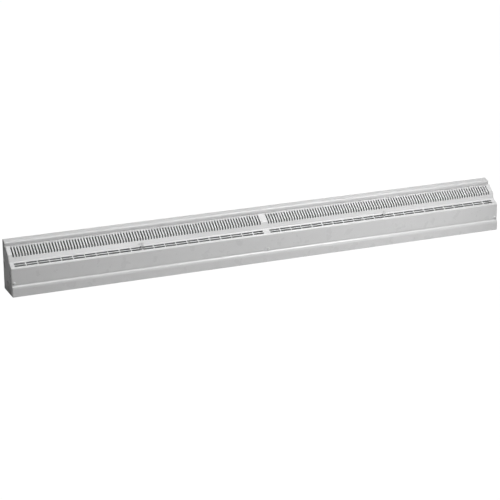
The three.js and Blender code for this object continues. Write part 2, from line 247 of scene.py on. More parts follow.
def prism(name, outline, xa, xb, to_world=place):
    """A plate across the length: an outline of (depth, height) between two places along it."""
    low, high = sorted((xa, xb))
    count = len(outline)
    vertices = [to_world(x, p[0], p[1]) for x in (low, high) for p in outline]
    sides = [(i, (i + 1) % count, count + (i + 1) % count, count + i) for i in range(count)]
    faces = sides + [tuple(range(count))[::-1], tuple(range(count, 2 * count))]
    return mesh_object(name, vertices, faces)


def block(name, xs, depths, heights, to_world=place):
    outline = [
        (depths[0], heights[0]), (depths[1], heights[0]), (depths[1], heights[1]), (depths[0], heights[1])
    ]
    return prism(name, outline, *xs, to_world)


def bent_sheet(name, section, thickness, xa, xb):
    """A sheet of even thickness folded along a section, with its ends filled by narrow faces."""
    points, count = section.ring(thickness), len(section.points)
    vertices = [place(x, p.x, p.y) for x in (xa, xb) for p in points]
    total = len(points)
    faces = [(i, (i + 1) % total, total + (i + 1) % total, total + i) for i in range(total)]
    for start in (0, total):
        for i in range(count - 1):
            faces.append((start + i, start + i + 1, start + total - 2 - i, start + total - 1 - i))
    return mesh_object(name, vertices, faces)


def round_edges(mesh, pairs, radius, segments):
    """Rounds single edges, each named by the numbers of its two end points."""
    work = bmesh.new()
    work.from_mesh(mesh)
    work.verts.ensure_lookup_table()
    edges = [work.edges.get([work.verts[a], work.verts[b]]) for a, b in pairs]
    bmesh.ops.bevel(work, geom=edges, offset=radius, segments=segments, profile=0.5, affect="EDGES")
    work.to_mesh(mesh)
    work.free()


def peg(name, spot, direction, profile, segments=24):
    """A turned piece from (radius, distance) points along a direction from a spot, in metres."""
    turn = Vector(direction).to_track_quat("Z", "Y").to_matrix().to_4x4()
    frame_of_peg = Matrix.Translation(spot) @ turn
    vertices, faces, rings = [], [], []
    for radius, distance in profile:
        ring = []
        for k in range(segments if radius else 1):
            angle = 2 * pi * k / segments
            ring.append(len(vertices))
            vertices.append(frame_of_peg @ Vector((radius * cos(angle), radius * sin(angle), distance)))
        rings.append(ring)
    for a, b in zip(rings, rings[1:]):
        for k in range(segments):
            n = (k + 1) % segments
            loop = [a[k % len(a)], a[n % len(a)], b[n % len(b)], b[k % len(b)]]
            faces.append(tuple(dict.fromkeys(loop)))
    return mesh_object(name, vertices, faces)


def drill_bit(name, x, height, radius, depths, segments=32):
    start = place(x, depths[0], height)
    length = (depths[1] - depths[0]) * MM
    radius *= MM
    return peg(name, start, (0, -1, 0), [(0, 0), (radius, 0), (radius, length), (0, length)], segments)


def combined(target, others, operation):
    """The target joined with, or cut by, the others; the others are used up."""
    for other in others:
        step = target.modifiers.new("step", "BOOLEAN")
        step.operation, step.solver, step.object = operation, "EXACT", other
    bpy.context.view_layer.update()
    seen = target.evaluated_get(bpy.context.evaluated_depsgraph_get())
    mesh = bpy.data.meshes.new_from_object(seen)
    target.modifiers.clear()
    old, target.data = target.data, mesh
    bpy.data.meshes.remove(old)
    for other in others:
        bpy.data.meshes.remove(other.data)
    return target


def soften(thing, width, limit=38, segments=2):
    """Rounds the edges of a piece and shades its bends smoothly."""
    thing.data.shade_smooth()
    thing.data.set_sharp_from_angle(angle=radians(limit))
    bevel = thing.modifiers.new("rounded edges", "BEVEL")
    bevel.width, bevel.segments = width, segments
    bevel.limit_method, bevel.angle_limit = "ANGLE", radians(limit)
    even = thing.modifiers.new("even shading", "WEIGHTED_NORMAL")
    even.keep_sharp = True
    return thing


def fit(thing, material, slot, body, *nodes):
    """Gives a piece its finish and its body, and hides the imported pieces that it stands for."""
    thing.data.materials.clear()
    thing.data.materials.append(material)
    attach(thing, body)
    if nodes:
        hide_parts(*nodes)
    return thing


def dress(node, material, width):
    """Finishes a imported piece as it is: flat faces made whole, edges rounded, bends smooth."""
    thing = frame["nodes"][node]
    thing.data.materials.clear()
    thing.data.materials.append(material)
    whole = thing.modifiers.new("whole faces", "DECIMATE")
    whole.decimate_type, whole.angle_limit = "DISSOLVE", radians(0.5)
    soften(thing, width)
    return thing


# ---------------------------------------------------------------- finishes


def add(tree, kind, settings=(), **inputs):
    """A shader node with its settings and with input sockets set to values or joined to outputs."""
    item = tree.nodes.new(kind)
    for key, value in dict(settings).items():
        setattr(item, key, value)
    for key, value in inputs.items():
        socket = item.inputs[int(key[1:]) if key[1:].isdigit() else key.replace("_", " ")]
        if isinstance(value, bpy.types.NodeSocket):
            tree.links.new(value, socket)
        else:
            socket.default_value = value
    return item


def group(name, inputs, outputs):
    """An empty node group with named sockets, and its two end nodes."""
    tree = bpy.data.node_groups.new(name, "ShaderNodeTree")
    for label, kind, value in inputs:
        tree.interface.new_socket(label, in_out="INPUT", socket_type=kind).default_value = value
    for label, kind in outputs:
        tree.interface.new_socket(label, in_out="OUTPUT", socket_type=kind)
    return tree, tree.nodes.new("NodeGroupInput"), tree.nodes.new("NodeGroupOutput")


def blended(tree, factor, low, high):
    """Colour mixed from low to high by a factor."""
    mix = add(tree, "ShaderNodeMix", {"data_type": "RGBA"}, _0=factor, _6=low, _7=high)
    return mix.outputs[2]


def in_range(tree, value, low, high, to_low, to_high):
    span = add(tree, "ShaderNodeMapRange", {"clamp": True}, Value=value)
    for socket, number in zip(list(span.inputs)[1:5], (low, high, to_low, to_high)):
        socket.default_value = number
    return span.outputs[0]


def noise(tree, place_from, scale, detail=3.0, roughness=0.5):
    return add(
        tree, "ShaderNodeTexNoise", Vector=place_from, Scale=scale, Detail=detail, Roughness=roughness
    ).outputs[0]


def worn_edges():
    """Group: where edges stand proud, broken up by noise, for thin paint or bright metal."""
    tree, start, end = group(
        "proud_edges",
        [("Reach", "NodeSocketFloat", 0.05), ("Grain", "NodeSocketFloat", 260.0)],
        [("Mask", "NodeSocketFloat")],
    )
    place_from = add(tree, "ShaderNodeTexCoord").outputs["Object"]
    proud = add(tree, "ShaderNodeNewGeometry").outputs["Pointiness"]
    high = add(tree, "ShaderNodeMath", {"operation": "SUBTRACT"}, _0=proud, _1=0.5).outputs[0]
    lifted = add(
        tree, "ShaderNodeMath", {"operation": "DIVIDE"}, _0=high, _1=start.outputs["Reach"]
    ).outputs[0]
    grain = add(tree, "ShaderNodeTexNoise", Vector=place_from, Scale=start.outputs["Grain"]).outputs[0]
    broken = add(
        tree, "ShaderNodeMath", {"operation": "MULTIPLY", "use_clamp": True}, _0=lifted, _1=grain
    ).outputs[0]
    tree.links.new(broken, end.inputs["Mask"])
    return tree


def paint_film():
    """Group: baked enamel. Colour drifts a little, and dust gathers on what faces up."""
    tree, start, end = group(
        "paint_film",
        [
            ("Colour", "NodeSocketColor", (0.8, 0.8, 0.8, 1)),
            ("Shade", "NodeSocketColor", (0.7, 0.7, 0.7, 1)),
            ("Gloss", "NodeSocketFloat", 0.35),
            ("Peel", "NodeSocketFloat", 420.0),
        ],
        [("Colour", "NodeSocketColor"), ("Roughness", "NodeSocketFloat"), ("Height", "NodeSocketFloat")],
    )
    place_from = add(tree, "ShaderNodeTexCoord").outputs["Object"]
    drift = in_range(tree, noise(tree, place_from, 9.0, 4.0), 0.0, 1.0, 0.0, 0.4)
    up = add(
        tree, "ShaderNodeSeparateXYZ", _0=add(tree, "ShaderNodeNewGeometry").outputs["Normal"]
    ).outputs["Z"]
    dust_grain = noise(tree, place_from, 190.0, 6.0, 0.65)
    dusty = add(
        tree, "ShaderNodeMath", {"operation": "MULTIPLY", "use_clamp": True}, _0=up, _1=dust_grain
    ).outputs[0]
    dust = in_range(tree, dusty, 0.0, 1.0, 0.0, 0.12)
    toned = blended(tree, drift, start.outputs["Colour"], start.outputs["Shade"])
    dusted = blended(tree, dust, toned, start.outputs["Shade"])
    tree.links.new(dusted, end.inputs["Colour"])
    patchy = in_range(tree, noise(tree, place_from, 35.0, 5.0), 0.0, 1.0, -0.05, 0.06)
    gloss = add(tree, "ShaderNodeMath", {"operation": "ADD"}, _0=start.outputs["Gloss"], _1=patchy).outputs[0]
    duller = add(
        tree, "ShaderNodeMath", {"operation": "ADD", "use_clamp": True}, _0=gloss, _1=dust
    ).outputs[0]
    tree.links.new(duller, end.inputs["Roughness"])
    peel = add(tree, "ShaderNodeTexNoise", Vector=place_from, Scale=start.outputs["Peel"], Detail=2.0)
    tree.links.new(peel.outputs[0], end.inputs["Height"])
    return tree


def zinc_crystals():
    """Group: hot-dip zinc. Flat crystals of slightly different grey, with a fine rolled grain."""
    tree, start, end = group(
        "zinc_crystals",
        [
            ("Light", "NodeSocketColor", (0.7, 0.71, 0.72, 1)),
            ("Dark", "NodeSocketColor", (0.5, 0.51, 0.53, 1)),
            ("Crystal", "NodeSocketFloat", 150.0),
            ("Gloss", "NodeSocketFloat", 0.4),
        ],
        [("Colour", "NodeSocketColor"), ("Roughness", "NodeSocketFloat"), ("Height", "NodeSocketFloat")],
    )
    place_from = add(tree, "ShaderNodeTexCoord").outputs["Object"]
    cells = add(
        tree, "ShaderNodeTexVoronoi", {"feature": "F1"}, Vector=place_from, Scale=start.outputs["Crystal"]
    )
    tint = add(tree, "ShaderNodeSeparateColor", _0=cells.outputs["Color"]).outputs[0]
    grain = noise(tree, place_from, 900.0, 4.0, 0.6)
    mixed = add(tree, "ShaderNodeMath", {"operation": "MULTIPLY_ADD"}, _0=grain, _1=0.35, _2=tint).outputs[0]
    share = in_range(tree, mixed, 0.1, 1.2, 0.0, 1.0)
    tree.links.new(blended(tree, share, start.outputs["Dark"], start.outputs["Light"]), end.inputs["Colour"])
    rougher = in_range(tree, tint, 0.0, 1.0, -0.08, 0.12)
    gloss = add(
        tree, "ShaderNodeMath", {"operation": "ADD", "use_clamp": True}, _0=start.outputs["Gloss"], _1=rougher
    )
    tree.links.new(gloss.outputs[0], end.inputs["Roughness"])
    tree.links.new(grain, end.inputs["Height"])
    return tree


def place_group(tree, made, **inputs):
    item = add(tree, "ShaderNodeGroup", {"node_tree": made})
    for key, value in inputs.items():
        item.inputs[key].default_value = value
    return item


def material(name):
    made = bpy.data.materials.new(name)
    made.use_nodes = True
    shader = made.node_tree.nodes["Principled BSDF"]
    return made, made.node_tree, shader


def bumped(tree, shader, height, strength, distance):
    bump = add(tree, "ShaderNodeBump", Strength=strength, Distance=distance, Height=height)
    tree.links.new(bump.outputs["Normal"], shader.inputs["Normal"])


def rgba(colour, share=1.0):
    return (*(channel * share for channel in colour), 1)


class Finishes:
    """The finishes of the outlet, made once and shared by the pieces."""

    made = {}

    @classmethod
    def get(cls, name):
        if not cls.made:
            cls.edges, cls.paint, cls.crystals = worn_edges(), paint_film(), zinc_crystals()
            cls.made = {
                "enamel": cls.enamel(),
                # The back sheet's enamel with painted shade: dark grey inside the case.
                "shade_painted_inside": cls.enamel("enamel_over_primer", True),
                "zinc": cls.zinc("zinc_coated_sheet", 150.0, 0.42),
                "plated": cls.zinc("zinc_plated_fixing", 700.0, 0.3),
                "spring": cls.spring(),
            }
        return cls.made[name]

    @classmethod
    def enamel(cls, name="white_baked_enamel", shade_painted_inside=False):
        looks = bpy.context.scene.outlet_finish
        made, tree, shader = material(name)
        colour, shade = rgba(looks.enamel), rgba(looks.enamel, 0.97)
        film = place_group(tree, cls.paint, Colour=colour, Shade=shade, Gloss=looks.enamel_roughness)
        edges = place_group(tree, cls.edges, Reach=0.12)
        thin = in_range(tree, edges.outputs["Mask"], 0.15, 0.6, 0.0, 0.3)
        tone = blended(tree, thin, film.outputs["Colour"], rgba(looks.enamel, 0.8))
        # Painted shade: the inside of the back sheet turns dark grey.
        if shade_painted_inside:
            tone = blended(tree, cls.inside_shade_mask(tree), tone, rgba(looks.painted_shade))
        tree.links.new(tone, shader.inputs["Base Color"])
        tree.links.new(film.outputs["Roughness"], shader.inputs["Roughness"])
        shader.inputs["Coat Weight"].default_value = 0.3
        shader.inputs["Coat Roughness"].default_value = 0.16
        bumped(tree, shader, film.outputs["Height"], 0.25, 0.00004)
        return made

    @staticmethod
    def inside_shade_mask(tree):
        """1 inside the case, below the face's hook, where the back sheet is painted dark grey as painted
        shade for the inside of the case.
        """
        spot = add(tree, "ShaderNodeTexCoord").outputs["Object"]
        height = add(tree, "ShaderNodeSeparateXYZ", _0=spot).outputs[2]
        low = add(tree, "ShaderNodeMath", {"operation": "LESS_THAN"}, _0=height, _1=SHADE_PAINT_HEIGHT * MM)
        facing = add(tree, "ShaderNodeSeparateXYZ", _0=add(tree, "ShaderNodeNewGeometry").outputs["Normal"])
        inner = add(tree, "ShaderNodeMath", {"operation": "LESS_THAN"}, _0=facing.outputs[1], _1=0.5)
        both = add(tree, "ShaderNodeMath", {"operation": "MULTIPLY"}, _0=low.outputs[0], _1=inner.outputs[0])
        return both.outputs[0]

    @classmethod
    def zinc(cls, name, crystal, gloss):
        looks = bpy.context.scene.outlet_finish
        made, tree, shader = material(name)
        # The zinc colour is darker than clean zinc: partly the metal's own grey, partly painted shade for the
        # pieces inside the case.
        light, dark = rgba(looks.zinc), rgba(looks.zinc, 0.72)
        film = place_group(tree, cls.crystals, Light=light, Dark=dark, Crystal=crystal, Gloss=gloss)
        edges = place_group(tree, cls.edges, Reach=0.08)
        tree.links.new(
            blended(tree, edges.outputs["Mask"], film.outputs["Colour"], rgba(looks.zinc, 1.1)),
            shader.inputs["Base Color"],
        )
        tree.links.new(film.outputs["Roughness"], shader.inputs["Roughness"])
        shader.inputs["Metallic"].default_value = 0.9
        bumped(tree, shader, film.outputs["Height"], 0.2, 0.00003)
        return made

    @classmethod
    def spring(cls):
        looks = bpy.context.scene.outlet_finish
        made, tree, shader = material("oiled_spring_steel")
        place_from = add(tree, "ShaderNodeTexCoord").outputs["Object"]
        streaks = noise(tree, place_from, 420.0, 5.0)
        edges = place_group(tree, cls.edges, Reach=0.06)
        tone = blended(tree, streaks, rgba(looks.spring, 0.75), rgba(looks.spring, 1.2))
        bright = rgba(looks.spring, 1.9)
        tree.links.new(blended(tree, edges.outputs["Mask"], tone, bright), shader.inputs["Base Color"])
        tree.links.new(in_range(tree, streaks, 0.3, 0.7, 0.32, 0.5), shader.inputs["Roughness"])
        shader.inputs["Metallic"].default_value = 0.9
        bumped(tree, shader, streaks, 0.15, 0.00002)
        return made


# ---------------------------------------------------------------- the slotted face


def close_to(values, value, gap):
    return any(abs(value - v) < gap for v in values)


class FaceGrid:
    """Columns and rows for the slotted face, with what is punched out of it."""

    ROUND = ((0.0, 0.75), (0.25, 0.3), (0.75, 0.0))
    COLLAR = 0.8
    SLIVER = 0.45
    SCREW_CUT = (0.8, 2, 2.8)

    def __init__(self, slots):
        self.slots = slots
        self.section = Section(FACE_BENDS, radians(9))
        self.pitch, self.half_slot = HALF_SPAN / slots.per_half, slots.width / MM / 2
        self.lever_half = slots.lever_width / MM / 2
        self.top = self.section.nearest(SLOT_TOP)
        self.foot = self.section.nearest(SLOT_FOOT)
        self.lever_rows = [self.section.nearest(p) for p in (LEVER_SLOT_TOP, LEVER_SLOT_FOOT)]
        half = slots.dash_height / MM / 2
        self.dash_rows = []
        for depth in DASH_DEPTHS:
            middle = self.section.nearest(self.on_slope(depth))
            self.dash_rows.append((middle - half, middle + half))
        self.screw_xs = [-(CAP_OUTSIDE - SCREW_END), 0, CAP_OUTSIDE - SCREW_END]
        self.screw_row = self.section.nearest((PANEL_DEPTH, SCREW_HEIGHT))
        self.make_columns()
        self.make_rows()

    def on_slope(self, depth):
        a, b = Vector(FACE_BENDS[3][:2]), Vector(FACE_BENDS[4][:2])
        return a.lerp(b, (depth - a.x) / (b.x - a.x))

    def make_columns(self):
        """Every place along the length where a slot, a dash, a hole or a web starts or ends."""
        self.slot_edges, self.dashes, self.levers, columns = [], [], [], []
        web, cell, dash = self.slots.dash_web / MM / 2, self.pitch, HALF_SPAN / self.slots.dashes
        for side in (-1, 1):
            for k in range(self.slots.per_half):
                middle = side * (CENTRE_GAP / 2 + (k + 0.5) * cell)
                self.slot_edges.append((middle - self.half_slot, middle + self.half_slot))
                columns += [
                    middle - cell / 2, middle + cell / 2, middle - self.half_slot, middle + self.half_slot
                ]
            for k in range(self.slots.dashes):
                start = CENTRE_GAP / 2 + k * dash
                ends = sorted((side * (start + web), side * (start + dash - web)))
                self.dashes.append(self.snapped(columns, *ends))
                columns += self.dashes[-1]
            lever = self.snapped(columns, side * LEVER_X - self.lever_half, side * LEVER_X + self.lever_half)
            self.levers.append(lever)
            columns += [*lever, *self.snapped(columns, lever[0] - self.COLLAR, lever[1] + self.COLLAR)]
            columns += [side * SHELL_END, side * (SHELL_END - 1.5), side * CENTRE_GAP / 4]
        for x in self.screw_xs:
            columns += [x + way * reach for reach in self.SCREW_CUT for way in (-1, 1)]
        self.columns = self.sorted_apart(columns, 0.02)

    def make_rows(self):
        rows = [self.top, self.foot, *self.lever_rows]
        rows += [self.top + (self.foot - self.top) * k / 6 for k in range(1, 6)]
        for low, high in [(self.top, self.foot), self.lever_rows, *self.dash_rows]:
            for reach, _ in self.ROUND:
                rows += [low + reach, high - reach]
            rows += [low - self.COLLAR, high + self.COLLAR]
        rows += [self.screw_row + way * reach for reach in self.SCREW_CUT for way in (-1, 1)]
        bends = [s for s in self.section.along if not close_to(rows, s, 0.2)]
        self.rows = self.sorted_apart(rows + bends, 0.02)

    @classmethod
    def snapped(cls, columns, *places):
        """Each place, moved onto a column that is so near that a sliver would be left between them."""
        near = [min(columns, key=lambda column: abs(column - x)) for x in places]
        return tuple(n if abs(n - x) < cls.SLIVER else x for n, x in zip(near, places))

    @staticmethod
    def sorted_apart(values, gap):
        kept = []
        for value in sorted(values):
            if not kept or value - kept[-1] > gap:
                kept.append(value)
        return kept

    @staticmethod
    def inside(value, low, high):
        return low < value < high

    def punched(self, x, s):
        """True where the sheet is cut away, for the middle of a grid face."""
        if self.inside(s, self.top, self.foot):
            return any(a < x < b for a, b in self.near(self.slot_edges, x))
        if any(self.inside(s, *row) for row in self.dash_rows):
            if any(a < x < b for a, b in self.dashes):
                return True
        if self.inside(s, *self.lever_rows) and any(a < x < b for a, b in self.levers):
            return True
        off_row = abs(s - self.screw_row)
        for screw in self.screw_xs:
            off = abs(x - screw)
            narrow, wide = self.SCREW_CUT[:2]
            if (off < wide and off_row < narrow) or (off < narrow and off_row < wide):
                return True
        return False

    def near(self, spans, x):
        return [span for span in spans if abs(span[0] - x) < 2 * self.pitch]

    def corner_shift(self, x, s):
        """Draws the corners of slots and dashes in, so that they are round."""
        windows = []
        if self.top <= s <= self.foot:
            windows = [((self.top, self.foot), span) for span in self.near(self.slot_edges, x)]
        for row in self.dash_rows:
            if row[0] - 1e-6 <= s <= row[1] + 1e-6:
                windows += [
                    (row, span) for span in self.dashes if min(abs(x - span[0]), abs(x - span[1])) < 0.01
                ]
        if self.lever_rows[0] <= s <= self.lever_rows[1]:
            windows += [(self.lever_rows, span) for span in self.levers]
        for (low, high), (left, right) in windows:
            inward = 1 if abs(x - left) < 0.01 else -1 if abs(x - right) < 0.01 else 0
            from_end = min(s - low, high - s)
            for reach, shift in self.ROUND:
                if inward and abs(from_end - reach) < 0.01:
                    return inward * shift
        return 0.0

    def lift(self, x, s):
        """The bars between slots are crowned: high in their middle, low at the slot's edge."""
        fade = min(1, max(0, min(s - self.top, self.foot - s) / 2.5))
        reach = abs(x) - CENTRE_GAP / 2
        if fade == 0 or reach < -0.01 or reach > self.slots.per_half * self.pitch + 0.01:
            return 0.0
        from_bar = abs((reach / self.pitch + 0.5) % 1 - 0.5) * self.pitch
        half_bar = self.pitch / 2 - self.half_slot
        share = max(-1.0, 1 - 2 * (from_bar / half_bar) ** 2)
        return self.slots.crown / MM * fade * share / 2


def slotted_sheet(name, grid, thickness):
    """The face as one closed mesh: outer skin, inner skin and the walls of every slot."""
    columns, rows = grid.columns, grid.rows
    wide, tall = len(columns), len(rows)
    vertices = []
    frames = [grid.section.at(s) for s in rows]
    for depth in (0, thickness):
        for s, (point, normal) in zip(rows, frames):
            for x in columns:
                spot = point + normal * (grid.lift(x, s) - depth)
                vertices.append(place(x + grid.corner_shift(x, s), spot.x, spot.y))
    inner = wide * tall
    solid = [
        [not grid.punched((a + b) / 2, (c + d) / 2) for a, b in zip(columns, columns[1:])]
        for c, d in zip(rows, rows[1:])
    ]
    faces = []
    for j in range(tall - 1):
        for i in range(wide - 1):
            if not solid[j][i]:
                continue
            loop = [j * wide + i, j * wide + i + 1, (j + 1) * wide + i + 1, (j + 1) * wide + i]
            faces.append(tuple(loop))
            faces.append(tuple(inner + v for v in reversed(loop)))
            beyond = [(j - 1, i), (j, i + 1), (j + 1, i), (j, i - 1)]
            for (row, column), a, b in zip(beyond, loop, loop[1:] + loop[:1]):
                if 0 <= row < tall - 1 and 0 <= column < wide - 1 and solid[row][column]:
                    continue
                faces.append((b, a, inner + a, inner + b))
    return mesh_object(name, vertices, faces)


# ---------------------------------------------------------------- pieces


def joint_of(label):
    return next(j for j in frame["joints"] if j["child"] == f"damper_{label}")


def damper_place(label):
    """Turns millimetres in a damper's own frame, closed and about its pivot, into the case at rest."""
    joint = joint_of(label)
    opened = radians(-joint["range_deg"][0])
    turn = Matrix.Translation(joint["pos_m"]) @ Matrix.Rotation(opened, 4, "X")
    middle = joint["pos_m"][0]

    def to_world(x, ahead, up):
        return turn @ Vector((x * MM - middle, -ahead * MM, up * MM))

    return to_world


class OUTLET_OT_face(bpy.types.Operator):
    """Press the slotted face panel"""

    bl_idname = "outlet.face"
    bl_label = "Face panel"

    def execute(self, context):
        sheet, slots = context.scene.outlet_sheet, context.scene.outlet_slots
        face = slotted_sheet("face_panel_pressed", FaceGrid(slots), sheet.thickness / MM)
        soften(face, sheet.punched_edge, 50, 1)
        fit(face, Finishes.get("enamel"), WHITE, CASE, "face_panel")
        return {"FINISHED"}


class OUTLET_OT_rear(bpy.types.Operator):
    """Fold the rear panel with its wall flange and drill it"""

    bl_idname = "outlet.rear"
    bl_label = "Rear panel"

    def execute(self, context):
        sheet = context.scene.outlet_sheet
        rear = bent_sheet(
            "rear_panel_folded", Section(REAR_BENDS), sheet.thickness / MM, -SHELL_END, SHELL_END
        )
        bits = [drill_bit("bit", x, WALL_HOLE_HEIGHT, WALL_HOLE_RADIUS, (-1, 2)) for x in WALL_HOLES]
        for node in frame["nodes"]:
            if "rivet" in node and not node.startswith("lever"):
                low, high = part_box(node)
                middle = (low + high) / 2 / MM
                bits.append(drill_bit("bit", middle.x, middle.z, RIVET_HOLE, (-1, 2), 16))
        combined(rear, bits, "DIFFERENCE")
        soften(rear, sheet.cut_edge)
        # The back sheet's inside carries painted shade.
        fit(rear, Finishes.get("shade_painted_inside"), WHITE, CASE, "rear_panel")
        return {"FINISHED"}


class OUTLET_OT_toe(bpy.types.Operator):
    """Fold the toe strip with its rounded shoulder"""

    bl_idname = "outlet.toe"
    bl_label = "Toe strip"

    def execute(self, context):
        sheet = context.scene.outlet_sheet
        toe = bent_sheet("toe_strip_folded", Section(TOE_BENDS), sheet.thickness / MM, -SHELL_END, SHELL_END)
        ends = CAP_OUTSIDE - SCREW_END
        bits = [drill_bit("bit", x, SCREW_HEIGHT, SCREW_HOLE, (58, 63.4), 16) for x in (-ends, 0, ends)]
        combined(toe, bits, "DIFFERENCE")
        soften(toe, sheet.cut_edge)
        fit(toe, Finishes.get("enamel"), WHITE, CASE, "toe_strip")
        return {"FINISHED"}


class OUTLET_OT_caps(bpy.types.Operator):
    """Cut the two end caps to the outline of the case and turn their tabs in"""

    bl_idname = "outlet.caps"
    bl_label = "End caps"

    def execute(self, context):
        sheet = context.scene.outlet_sheet
        thick = sheet.thickness / MM
        inside = CAP_OUTSIDE - thick
        rear = [p for p in Section(REAR_BENDS).points[:-1] if p.y > 0 or p.x < FLOOR_LIP]
        face = Section(FACE_BENDS).points[1:]
        toe = [p for p in Section(TOE_BENDS).points[:-1] if p.y <= SHOULDER and p.x > TOE_FLANGE]
        outline = rear + face + [Vector((PANEL_DEPTH - thick, PANEL_FOOT))] + toe
        for label, side in SIDES.items():
            low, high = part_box(f"end_cap_{label}")
            reach = (high.x - low.x) / MM
            cap = prism(f"end_cap_{label}_cut", outline, side * inside, side * CAP_OUTSIDE)
            xs = (side * (CAP_OUTSIDE - 0.5), side * (CAP_OUTSIDE - reach))
            gap = thick + GAP
            tabs = [block("tab", xs, (gap, gap + thick), (z - TAB_HALF, z + TAB_HALF)) for z in TAB_HEIGHTS]
            tabs.append(block("tab", xs, FLOOR_TAB, (gap, gap + thick)))
            edge = (side * (CAP_OUTSIDE - 0.5), side * (inside - EDGE_TAB_REACH))
            tabs.append(block("tab", edge, (TOE_FLANGE - thick, TOE_FLANGE), EDGE_TAB))
            combined(cap, tabs, "UNION")
            bits = []
            for level in ("lower", "upper"):
                low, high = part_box(f"cap_rivet_{label}_{level}")
                middle = (low + high) / 2 / MM
                bits.append(drill_bit("bit", middle.x, middle.z, RIVET_HOLE, (0, 4), 16))
            combined(cap, bits, "DIFFERENCE")
            soften(cap, sheet.cut_edge)
            fit(cap, Finishes.get("enamel"), WHITE, CASE, f"end_cap_{label}")
        return {"FINISHED"}


class OUTLET_OT_levers(bpy.types.Operator):
    """Shape the two damper levers with their thumb pads"""

    bl_idname = "outlet.levers"
    bl_label = "Damper levers"

    # Front of the strip, from the thumb pad's top down to the foot, about the pivot.
    STRIP = [(2.7, 26.6), (7, 19, 2.4), (5.4, 12.5, 9), (3.7, 3, 9), (3, -3.9, 1.7), (-1.6, -3.9)]
    THICKNESS = 1.15
    CORNER = 1.3
    FOOT = {"reach": 10, "depths": (-5, 2), "heights": (-3.9, -2.9)}

    def execute(self, context):
        half = context.scene.outlet_slots.lever_strip / MM / 2
        outline = Section(self.STRIP).ring(self.THICKNESS)
        for label, side in SIDES.items():
            to_world, centre = damper_place(label), side * LEVER_X
            strip = prism(f"damper_lever_{label}_bent", outline, centre - half, centre + half, to_world)
            count = len(outline)
            round_edges(strip.data, [(0, count - 1), (count, 2 * count - 1)], self.CORNER * MM, 5)
            xs = (centre - side * half, centre + side * self.FOOT["reach"])
            foot = block("foot", xs, self.FOOT["depths"], self.FOOT["heights"], to_world)
            combined(strip, [foot], "UNION")
            low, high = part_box(f"lever_rivet_{label}")
            down = to_world(0, 0, -1) - to_world(0, 0, 0)
            top = (low + high) / 2 - down * 6
            radius, length = RIVET_HOLE * MM, 12 * MM
            bit = peg("bit", top, down, [(0, 0), (radius, 0), (radius, length), (0, length)])
            combined(strip, [bit], "DIFFERENCE")
            soften(strip, 0.25 * MM, 30, 3)
            fit(strip, Finishes.get("enamel"), WHITE, f"damper_{label}", f"damper_lever_{label}")
        return {"FINISHED"}


class OUTLET_OT_screws(bpy.types.Operator):
    """Turn the pan-head screws of the face and cut their cross recesses"""

    bl_idname = "outlet.screws"
    bl_label = "Face screws"

    def execute(self, context):
        for label in ("left", "centre", "right"):
            low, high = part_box(f"face_screw_{label}")
            spot = Vector(((low.x + high.x) / 2, high.y, (low.z + high.z) / 2))
            length, head = high.y - low.y, (high.x - low.x) / 2
            neck, shank = length - 2 * MM, SCREW_SHANK * MM
            dome = [(head, neck), (head, neck + 0.5 * MM)]
            for k in range(1, 7):
                angle = k / 7 * pi / 2
                dome.append((head * cos(angle) ** 0.7, neck + 0.5 * MM + 1.5 * MM * sin(angle)))
            profile = [
                (0, 0), (0.5 * MM, 0.2 * MM), (shank, SCREW_TIP * MM), (shank, neck), *dome, (0, length)
            ]
            screw = peg(f"face_screw_{label}_turned", spot, (0, -1, 0), profile, 40)
            middle, height, tip = spot.x / MM, spot.z / MM, (WALL - low.y) / MM
            cross = []
            narrow, wide, deep = SCREW_CROSS
            for width, tall in ((narrow, wide), (wide, narrow)):
                xs, heights = (middle - width, middle + width), (height - tall, height + tall)
                cross.append(block("cut", xs, (tip - deep, tip + 1), heights))
            combined(screw, cross, "DIFFERENCE")
            soften(screw, 0.08 * MM, 35)
            fit(screw, Finishes.get("enamel"), WHITE, CASE, f"face_screw_{label}")
        return {"FINISHED"}


class OUTLET_OT_inner(bpy.types.Operator):
    """Finish the zinc-coated pieces inside: blades, brackets, support and ties"""

    bl_idname = "outlet.inner"
    bl_label = "Inner sheet pieces"

    def execute(self, context):
        for node in frame["nodes"]:
            if node.startswith(("damper_blade", "pivot_bracket", "centre_support", "floor_tie")):
                # The inner pieces take the darkened zinc, which is partly painted shade.
                dress(node, Finishes.get("zinc"), 0.12 * MM)
        return {"FINISHED"}


class OUTLET_OT_fixings(bpy.types.Operator):
    """Finish the rivets, pins, washers and clips"""

    bl_idname = "outlet.fixings"
    bl_label = "Fixings"

    def execute(self, context):
        for node in frame["nodes"]:
            if "rivet" in node or node.startswith("pivot_pin"):
                dress(node, Finishes.get("plated"), 0.12 * MM)
            elif node.startswith(("friction_washer", "face_clip")):
                dress(node, Finishes.get("spring"), 0.08 * MM)
        return {"FINISHED"}


# Each lamp's name, where it stands, what it points at and its sides, in metres.
LAMPS = [
    ("over_left", (-0.55, -0.3, 0.9), (-0.45, 0, 0.05), (0.5, 0.4)),
    ("over_right", (0.45, -0.3, 0.9), (0.4, 0, 0.05), (0.5, 0.4)),
    ("front_near", (0, -1.2, 0.6), (0, 0, 0.05), (0.5, 0.5)),
    ("over_middle", (0, 0.05, 1.4), (0, 0, 0.05), (2.4, 0.5)),
    ("low_card", (0.45, -0.35, 0.012), (0.42, -0.03, 0.12), (0.5, 0.25)),
]


